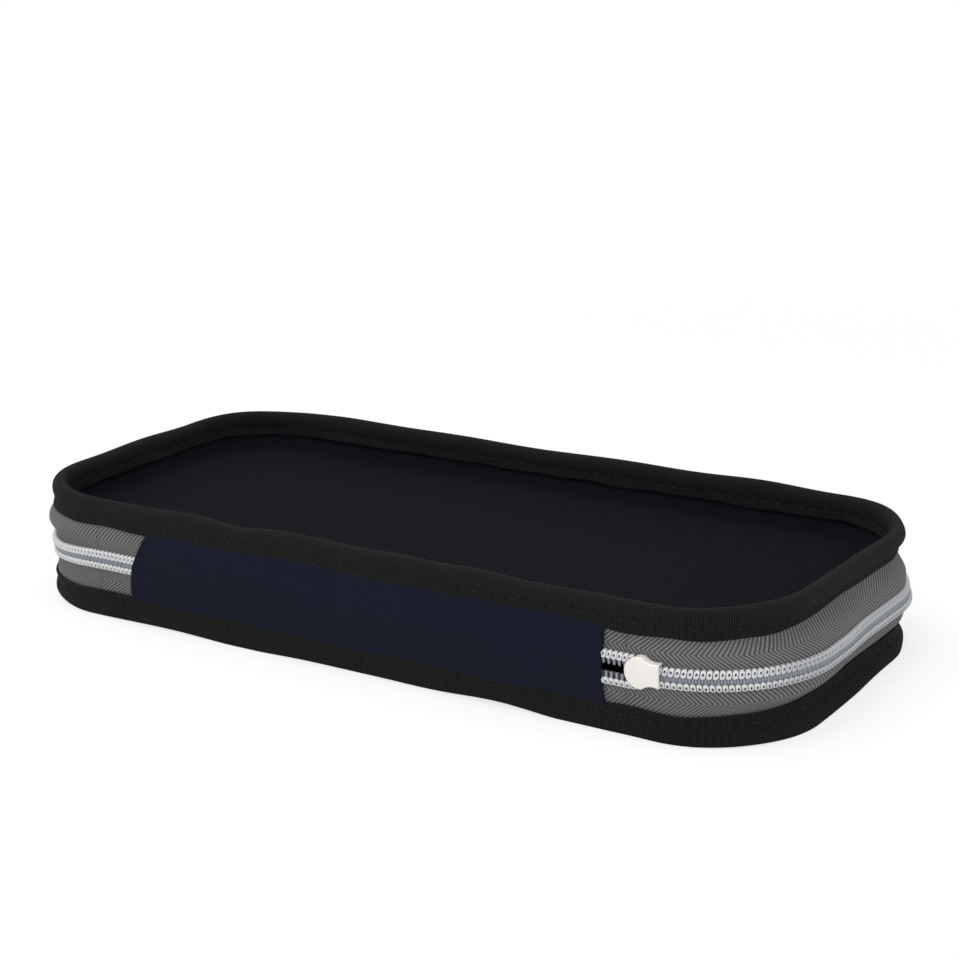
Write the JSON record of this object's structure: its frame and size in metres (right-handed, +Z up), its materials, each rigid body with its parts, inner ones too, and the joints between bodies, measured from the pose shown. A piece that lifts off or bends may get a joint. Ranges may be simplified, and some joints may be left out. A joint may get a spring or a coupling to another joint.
{
  "type": "portable game console case",
  "caption": "Slim soft zip-round case turned inside out and zipped shut, so its bound seams form a foot and the rim of a shallow tray.",
  "frame": {"origin": "middle of the case on the floor it stands on", "axes": "+X along the long side to the right, -Y towards the spine at the front, +Z up"},
  "size_m": [0.2662, 0.1216, 0.037],
  "materials": {
    "panel_cloth": "dark blue lining",
    "spine_cloth": "dark blue weave",
    "binding_tape": "black ribbed tape",
    "zip_tape": "grey chevron weave",
    "zip_coil": "silver grey nylon",
    "slider_metal": "pale satin"
  },
  "bodies": {
    "base": {"base_panel": "panel_cloth", "lower_binding": "binding_tape", "lower_zip_tape": "zip_tape", "lower_zip_coil": "zip_coil"},
    "spine": {"spine_panel": "spine_cloth"},
    "lid": {"lid_panel": "panel_cloth", "upper_binding": "binding_tape", "upper_zip_tape": "zip_tape", "upper_zip_coil": "zip_coil"},
    "slider": {"zip_slider": "slider_metal"},
    "pull": {"zip_pull": "slider_metal"}
  },
  "joints": [
    {"name": "lid_fold", "type": "hinge", "parent": "spine", "child": "lid", "pos_m": [0, -0.059, 0.0284], "axis": [1, 0, 0], "range_deg": [0, 90], "deforming": ["upper_zip_tape", "upper_zip_coil"]},
    {"name": "spine_fold", "type": "hinge", "parent": "base", "child": "spine", "pos_m": [0, -0.059, 0.0086], "axis": [1, 0, 0], "range_deg": [0, 90], "deforming": ["upper_zip_tape", "upper_zip_coil"]},
    {"name": "slider_travel", "type": "hinge", "parent": "base", "child": "slider", "pos_m": [0.097, -0.0235, 0.0185], "axis": [0, 0, 1], "range_deg": [0, 90], "deforming": ["lower_zip_coil", "upper_zip_coil"]},
    {"name": "pull_swing", "type": "hinge", "parent": "slider", "child": "pull", "pos_m": [0.097, -0.05525, 0.0185], "axis": [0, 0, 1], "range_deg": [-65, 65]}
  ],
  "couplings": [
    {"joint": "lid_fold", "follows": "spine_fold", "ratio": 1}
  ]
}
